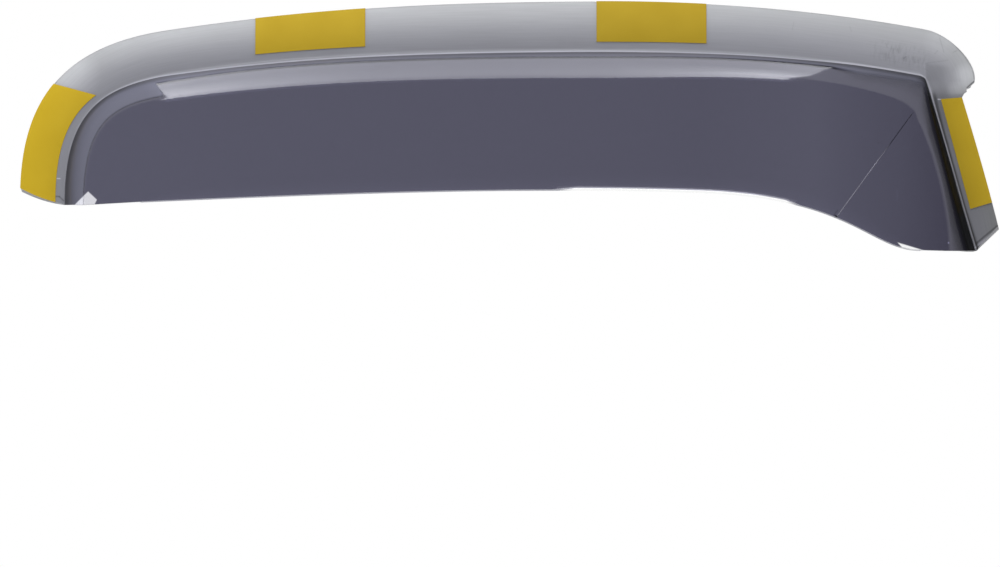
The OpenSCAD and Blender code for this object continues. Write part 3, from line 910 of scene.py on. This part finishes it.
# Small marks on the sheet, in the drawing's millimetres: (from, to, width, how much paler or
# darker). The scuffs, dots and the chip at the crack's foot are the sheet's own; the strokes marked
# below are painted highlights and painted shade. Each fades out over STROKE_EDGE at its sides.
STROKES = [
    # Painted highlight along the pocket's ridge, and painted shade along its upper edge
    ((688.2, 113.4), (689.3, 102.4), 1.2, 1.13),
    ((689.5, 113.4), (707.0, 115.8), 1.2, 0.88),
    ((700.8, 133.6), (704.0, 122.4), 0.8, 0.8),
    ((711.5, 122.3), (714.5, 123.6), 1.0, 0.8),
    ((696.8, 121.0), (699.0, 123.5), 0.9, 0.82),
    ((672.0, 117.4), (673.5, 118.6), 1.3, 0.7),
    ((657.5, 129.5), (658.6, 126.0), 0.9, 0.82),
    ((662.0, 127.5), (661.4, 123.0), 0.9, 0.82),
    ((667.0, 125.2), (668.0, 121.5), 0.9, 0.84),
    ((584.0, 146.4), (582.6, 140.0), 0.8, 0.86),
    ((628.8, 143.0), (630.0, 139.0), 0.8, 0.86),
    # Painted glints: a white spot at the front side pad's corner, and a white tick by the rear side
    # pad
    ((699.2, 84.6), (703.6, 84.4), 0.9, 3.6),
    ((-6.0, 21.3), (-3.2, 21.1), 0.9, 2.4),
    # Painted shade: a dark line along the bevel of the flange's rear end
    ((-7.2, 7.0), (-3.7, 6.7), 1.3, 0.5),
    ((-3.7, 6.7), (-0.4, 3.5), 1.3, 0.5),
    # At the flange's front end: painted shade along its cut edge, and a painted highlight on its
    # bevel
    ((729.6, -30.8), (746.4, -16.8), 1.7, 0.5),
    ((728.6, -34.2), (746.8, -19.8), 1.6, 1.6),
    # Painted glint at the face's lower front corner
    ((706.4, -30.3), (706.5, -30.5), 1.1, 5.0),
    ((616.3, -8.7), (617.0, -9.4), 1.4, 0.1),
    ((615.2, -8.2), (618.2, -4.4), 0.8, 0.55),
    # Painted shade along the edge of the notch
    ((722.6, 94.0), (728.2, 99.0), 1.3, 0.3),
    # Painted shade: a dark line along the rim of the flange's tip
    ((714.0, 126.5), (721.4, 118.0), 0.9, 0.75),
    ((721.4, 118.0), (726.6, 109.5), 0.9, 0.75),
    ((726.6, 109.5), (728.3, 101.1), 0.9, 0.75),
    ((651.0, 49.6), (651.1, 49.5), 1.4, 0.7),
    ((216.0, 46.4), (216.1, 46.3), 1.3, 0.7),
    ((665.6, 12.0), (665.6, 3.0), 0.9, 1.2),
]
STROKE_EDGE = 0.5

# Painted reflections, pale patches at the face's lower edge: (colour, corners clockwise as the
# viewer sees them)
REFLECTION_PATCHES = [
    ((0.7, 0.7, 0.75), [(8.0, -1.5), (20.2, 10.6), (27.2, 4.0), (24.5, -1.5)]),
    ((0.94, 0.94, 0.95), [(666.0, -30.2), (686.0, -36.2), (677.6, -35.9), (669.2, -33.8)]),
]
PATCH_EDGE = 0.4

# Painted highlights, soft pale patches on the flange: (middle, radius, how much paler)
HIGHLIGHT_CLOUDS = [
    ((6.4, 104.8), 24.0, 1.26),
    ((721.0, 104.0), 10.5, 1.33),
    ((701.0, 130.0), 15.0, 1.12),
    ((713.0, 92.0), 8.0, 1.15),
    ((697.0, 92.0), 8.0, 1.2),
]


def flange_colour(tree, smoke):
    """Satin flange, brushed along its length and scuffed near the front. Painted light makes it paler
    to the rim, and it carries the pocket's painted shade, the front crease's shaded line and the
    crease's painted highlight.
    """
    # Painted light: darker at the crease, paler to the rim
    level = mix(
        tree, ramp(tree, attribute(tree, "rim_share"), RIM_RISE),
        smoke(CREASE_TINTS, CREASE_HUE), smoke(RIM_TINTS, RIM_HUE),
    )
    run = tree.nodes.new("ShaderNodeCombineXYZ")
    link(tree, attribute(tree, "length"), run.inputs["X"])
    link(tree, attribute(tree, "across"), run.inputs["Y"])
    brushed, scuffs = (
        noise(tree, mapped(tree, run.outputs[0], cells), 1.0, STREAK_DETAIL)
        for cells in (BRUSH_CELLS, SCUFF_CELLS)
    )
    scuffs = between(tree, scuffs, 0, 1, *SCUFF_RANGE)
    scuffs = sum_of(tree, "MULTIPLY", scuffs, attribute(tree, "scuffed"))
    # Brushed and scuffed streaks, then the pocket's painted shade and the front crease's shaded line
    for factor in (
        between(tree, brushed, *BRUSH_LEVELS, *NOISE_RANGE),
        between(tree, scuffs, 1, SCUFF_LEVEL),
        between(tree, attribute(tree, "pocket_shade"), 1, POCKET_SHADE),
        between(tree, attribute(tree, "shade"), 1, 0),
    ):
        level = mix(tree, 1.0, level, factor, "MULTIPLY")
    # Painted highlight along the crease
    return mix(tree, attribute(tree, "on_crease_highlight"), level, smoke(CREASE_HIGHLIGHTS, CREASE_HUE))


def marked(tree, colour):
    """A colour with the small marks, the painted highlights and the painted reflections laid over it.
    """
    spot = drawn_place(tree)
    # Strokes, some of them painted highlights and painted shade, and the clouds' painted highlights
    marks = [stroke(tree, spot, *row) for row in STROKES]
    marks += [cloud(tree, spot, *row) for row in HIGHLIGHT_CLOUDS]
    for mark in marks:
        colour = mix(tree, 1.0, colour, mark, "MULTIPLY")
    # Painted reflections at the lower edge of the face
    for pale, corners in REFLECTION_PATCHES:
        colour = mix(tree, patch(tree, spot, corners), colour, pale)
    return colour


def smoked_acrylic():
    """See-through smoke tint, glossy on the visor, satin on the flange; the wall is painted with
    shade.
    """
    material, tree, shader = node_tree("smoked_acrylic")
    on_flange, on_shaded_wall = attribute(tree, "on_flange"), attribute(tree, "on_shaded_wall")
    station, share = attribute(tree, "station"), attribute(tree, "face_share")

    def smoke(levels, hue):
        return mix(tree, 1.0, ramp(tree, station, levels), hue, "MULTIPLY")

    axes = tree.nodes.new("ShaderNodeSeparateXYZ")
    link(tree, drawn_place(tree), axes.inputs[0])
    visor = mix(tree, ramp(tree, axes.outputs["X"], LOBE_SHARES), VISOR_TINT, LOBE_TINT)
    # Painted reflection: paler next to the lower edge
    visor = mix(tree, 1.0, visor, ramp(tree, share, HEM_REFLECTION_LEVELS), "MULTIPLY")
    # The wall painted with shade, from its foot to its knee
    up_wall = between(tree, attribute(tree, "inset"), 0, 1, *KNEE_INSETS)
    wall = mix(tree, up_wall, smoke(WALL_SHADES, VISOR_HUE), smoke(KNEE_SHADES, KNEE_HUE))
    visor = mix(tree, on_shaded_wall, visor, wall)
    colour = mix(tree, on_flange, visor, flange_colour(tree, smoke))
    # Crack: dark at both ends, with a painted highlight between
    on_crack = between(tree, attribute(tree, "on_crack"), 0, 1, 0, 0.5)
    colour = mix(tree, on_crack, colour, ramp(tree, share, CRACK_LEVELS))
    link(tree, marked(tree, colour), shader.inputs["Base Color"])

    rough = sum_of(
        tree, "MAXIMUM", between(tree, on_flange, VISOR_ROUGH, FLANGE_ROUGH),
        between(tree, on_shaded_wall, 0, WALL_ROUGH, *WALL_ROUGH_FADE),
    )
    link(tree, rough, shader.inputs["Roughness"])
    clear = sum_of(
        tree, "MULTIPLY", between(tree, on_flange, 1, FLANGE_CLEAR), between(tree, on_shaded_wall, 1, 0),
    )
    link(tree, clear, shader.inputs["Transmission Weight"])
    shader.inputs["IOR"].default_value = ACRYLIC_IOR
    shader.inputs["Specular IOR Level"].default_value = ACRYLIC_GLOSS
    return material


def cut_edge():
    """Sawn and flamed edge of the sheet, paler and rougher than its faces."""
    material, tree, shader = node_tree("cut_edge")
    edge = mix(tree, noise(tree, part_place(tree), EDGE_GRAIN), EDGE_DEEP, EDGE_COLOUR)
    on_lip = attribute(tree, "on_lip")
    link(tree, mix(tree, on_lip, edge, LIP_COLOUR), shader.inputs["Base Color"])
    link(tree, between(tree, on_lip, EDGE_ROUGH, LIP_ROUGH), shader.inputs["Roughness"])
    link(tree, between(tree, on_lip, EDGE_CLEAR, 1), shader.inputs["Transmission Weight"])
    shader.inputs["IOR"].default_value = ACRYLIC_IOR
    return material


def yellow_liner():
    """Satin yellow paper, with painted shade: darker towards the crease and by station along the
    pads.
    """
    material, tree, shader = node_tree("yellow_liner")
    spot = part_place(tree)
    patches = between(tree, noise(tree, spot, LINER_PATCHES), 0, 1, *NOISE_RANGE)
    colour = mix(tree, patches, LINER_DEEP, LINER_COLOUR)
    # Painted shade by station, and towards the strip's inner edge
    liner_shade = ramp(tree, attribute(tree, "station"), LINER_SHADES)
    fade = between(tree, attribute(tree, "rim_share"), LINER_INSIDE, 1)
    colour = mix(tree, 1.0, colour, sum_of(tree, "MULTIPLY", liner_shade, fade), "MULTIPLY")
    link(tree, colour, shader.inputs["Base Color"])
    link(tree, bump(tree, noise(tree, spot, LINER_GRAIN), 0.25), shader.inputs["Normal"])
    shader.inputs["Roughness"].default_value = 0.6
    shader.inputs["Specular IOR Level"].default_value = 0.12
    return material


def foam_tape():
    material, tree, shader = node_tree("foam_tape")
    cells = noise(tree, part_place(tree), FOAM_GRAIN)
    link(tree, mix(tree, cells, FOAM_COLOUR, FOAM_CELL), shader.inputs["Base Color"])
    link(tree, bump(tree, cells, 0.6), shader.inputs["Normal"])
    shader.inputs["Roughness"].default_value = 0.9
    return material


# Studio. What gloss sees by how far its ray points inwards, -1 to the front and 1 to the back.
STUDIO_LEVELS = [
    (-1, 0.1), (-0.96, 0.1), (-0.92, 1.2), (-0.5, 1.2), (-0.3, 0.2), (0.8, 0.2), (0.86, 0),
    (0.95, 0), (0.98, 1), (1, 1),
]
SOFT_LEVEL = 0.45

# Top box: it faces the crown from BOX_DISTANCE away and BOX_TILT degrees up. x is as in the
# drawing, and heights run along the box from where it faces the crown, all in millimetres. Its
# level turns from the foot's to the head's between two heights, and its ends are soft over
# BOX_EDGE. Levels are listed (x, level), and ends (height, x).
BOX_DISTANCE = 1050.0
BOX_TILT = 57.0
BOX_FROM, BOX_TO = -260.0, 800.0
BOX_BELOW, BOX_ABOVE = 1030.0, 580.0
BOX_FOOT, BOX_HEAD = -640.0, -330.0
BOX_EDGE = 5.0
BOX_COLOUR = (1.0, 1.01, 1.05)
BOX_FOOT_LEVELS = [
    (-30, 10.1), (0, 9.0), (85, 6.0), (212, 3.9), (350, 3.6), (450, 4.1), (530, 6.1), (608, 9.0),
    (700, 8.5),
]
BOX_HEAD_LEVELS = [
    (-170, 7.0), (-60, 6.0), (0, 5.0), (212, 3.3), (350, 3.2), (534, 3.5), (600, 3.7), (700, 4.5),
]
BOX_LEFT_END = [
    (-1030, 14), (-757, -5), (-613, -22), (-460, -48), (-326, -74), (-187, -98), (26, -135),
    (287, -180), (580, -225),
]
BOX_RIGHT_END = [
    (-1030, 628), (-817, 643), (-561, 670), (-437, 691), (-332, 708), (-209, 726), (-93, 736),
    (92, 754), (244, 769), (580, 800),
]


def world():
    """White behind the part, a studio for gloss, and an even pale light for the rest.

    Gloss meets white only straight behind the part. In front of it the studio is dark along the
    line of sight and pale in a ring round that, and its sides are dark.
    """
    scene_world = bpy.data.worlds.new("studio")
    bpy.context.scene.world = scene_world
    scene_world.use_nodes = True
    tree = scene_world.node_tree
    tree.nodes.clear()
    path = tree.nodes.new("ShaderNodeLightPath").outputs
    sky = tree.nodes.new("ShaderNodeTexCoord")
    axes = tree.nodes.new("ShaderNodeSeparateXYZ")
    link(tree, sky.outputs["Generated"], axes.inputs[0])
    studio = ramp(tree, axes.outputs["Y"], STUDIO_LEVELS)
    gloss = sum_of(tree, "MULTIPLY", path["Is Glossy Ray"], studio)
    clear = sum_of(tree, "MAXIMUM", path["Is Camera Ray"], path["Is Transmission Ray"])
    soft = between(tree, path["Is Diffuse Ray"], 0, SOFT_LEVEL)
    level = sum_of(tree, "MAXIMUM", gloss, sum_of(tree, "MAXIMUM", clear, soft))
    background = tree.nodes.new("ShaderNodeBackground")
    link(tree, level, background.inputs["Strength"])
    background.inputs["Color"].default_value = (1, 1, 1, 1)
    output = tree.nodes.new("ShaderNodeOutputWorld")
    link(tree, background.outputs[0], output.inputs[0])


def place(x, y, z):
    """A place of the drawing, in millimetres, as a vector of the part's frame in metres."""
    return Vector((np.array([x, y, z]) - DATUM) * MM)


def soft_box(name, centre, target, width, height, radiance):
    """An area light that faces target, as bright as radiance."""
    data = bpy.data.lights.new(name, "AREA")
    data.shape = "RECTANGLE"
    data.size, data.size_y = width, height
    data.energy = radiance * math.pi * width * height
    obj = bpy.data.objects.new(name, data)
    obj.location = centre
    obj.rotation_euler = (target - centre).to_track_quat("-Z", "Y").to_euler()
    obj.visible_camera = False
    bpy.context.collection.objects.link(obj)
    return obj


def top_box():
    """The long soft box over the front, whose reflection fills the shoulder.

    Both its ends slant, and it is brightest along its foot, near the ends.
    """
    middle, width, height = (BOX_FROM + BOX_TO) / 2, BOX_TO - BOX_FROM, BOX_ABOVE + BOX_BELOW
    tilt = math.radians(BOX_TILT)
    target = place(middle, 0, CROWN[1])
    rise = (BOX_ABOVE - BOX_BELOW) / 2
    centre = target + MM * Vector((
        0,
        -BOX_DISTANCE * math.cos(tilt) + rise * math.sin(tilt),
        BOX_DISTANCE * math.sin(tilt) + rise * math.cos(tilt),
    ))
    facing = centre + MM * Vector((0, BOX_DISTANCE * math.cos(tilt), -BOX_DISTANCE * math.sin(tilt)))
    obj = soft_box("top_box", centre, facing, width * MM, height * MM, 1.0)
    obj.data.color = BOX_COLOUR
    obj.data.use_nodes = True
    tree = obj.data.node_tree
    on_box = tree.nodes.new("ShaderNodeNewGeometry")
    axes = tree.nodes.new("ShaderNodeSeparateXYZ")
    link(tree, on_box.outputs["Parametric"], axes.inputs[0])
    x = between(tree, axes.outputs["X"], BOX_FROM, BOX_TO)
    up = between(tree, axes.outputs["Y"], -BOX_BELOW, BOX_ABOVE)
    foot, head = ramp(tree, x, BOX_FOOT_LEVELS), ramp(tree, x, BOX_HEAD_LEVELS)
    rising = between(tree, up, 0, 1, BOX_FOOT, BOX_HEAD)
    gain = sum_of(tree, "MULTIPLY", rising, sum_of(tree, "SUBTRACT", head, foot))
    level = sum_of(tree, "ADD", foot, gain)
    past_left = sum_of(tree, "SUBTRACT", x, ramp(tree, up, BOX_LEFT_END))
    past_right = sum_of(tree, "SUBTRACT", ramp(tree, up, BOX_RIGHT_END), x)
    for past in (past_left, past_right):
        level = sum_of(tree, "MULTIPLY", level, between(tree, past, 0, 1, 0, BOX_EDGE))
    link(tree, level, tree.nodes["Emission"].inputs["Strength"])


def camera():
    data = bpy.data.cameras.new("camera")
    data.sensor_width = SENSOR
    width = PHOTO_W * MM_PER_PIXEL * MM
    data.lens = SENSOR * CAMERA_DISTANCE / width
    data.clip_end = 100
    x = (PHOTO_W / 2 - PHOTO_ZERO[0]) * MM_PER_PIXEL
    z = (PHOTO_ZERO[1] - PHOTO_H / 2) * MM_PER_PIXEL
    obj = bpy.data.objects.new("camera", data)
    obj.location = place(x, 0, z) + Vector((0, -CAMERA_DISTANCE, 0))
    obj.rotation_euler = (math.radians(90), 0, 0)
    bpy.context.collection.objects.link(obj)
    bpy.context.scene.camera = obj


def floor():
    """Pale floor well under the part, which hangs by its mount."""
    mesh = bpy.data.meshes.new("floor")
    half, height = 3.0, -0.45
    corners = [(x * half, y * half, height) for x, y in ((-1, -1), (1, -1), (1, 1), (-1, 1))]
    mesh.from_pydata(corners, [], [(0, 1, 2, 3)])
    material, _, shader = node_tree("floor")
    shader.inputs["Base Color"].default_value = (0.85, 0.85, 0.85, 1)
    shader.inputs["Roughness"].default_value = 1.0
    shader.inputs["Specular IOR Level"].default_value = 0.0
    mesh.materials.append(material)
    obj = bpy.data.objects.new("floor", mesh)
    bpy.context.collection.objects.link(obj)


def attach(piece, node):
    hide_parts(node)
    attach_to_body(piece, "root")


camera()
world()
top_box()
floor()
bpy.context.scene.view_settings.view_transform = "Standard"
attach(build_shield([smoked_acrylic(), cut_edge()]), "shield")
foam, liner = foam_tape(), yellow_liner()
for pad, ends in PADS.items():
    attach(pad_sheet(f"tape_{pad}", ends, 0, FOAM_T, foam), f"foam_{pad}")
    strip = pad_sheet(f"peel_{pad}", ends, FOAM_T, FOAM_T + LINER_T, liner)
    attach(strip, f"liner_{pad}")
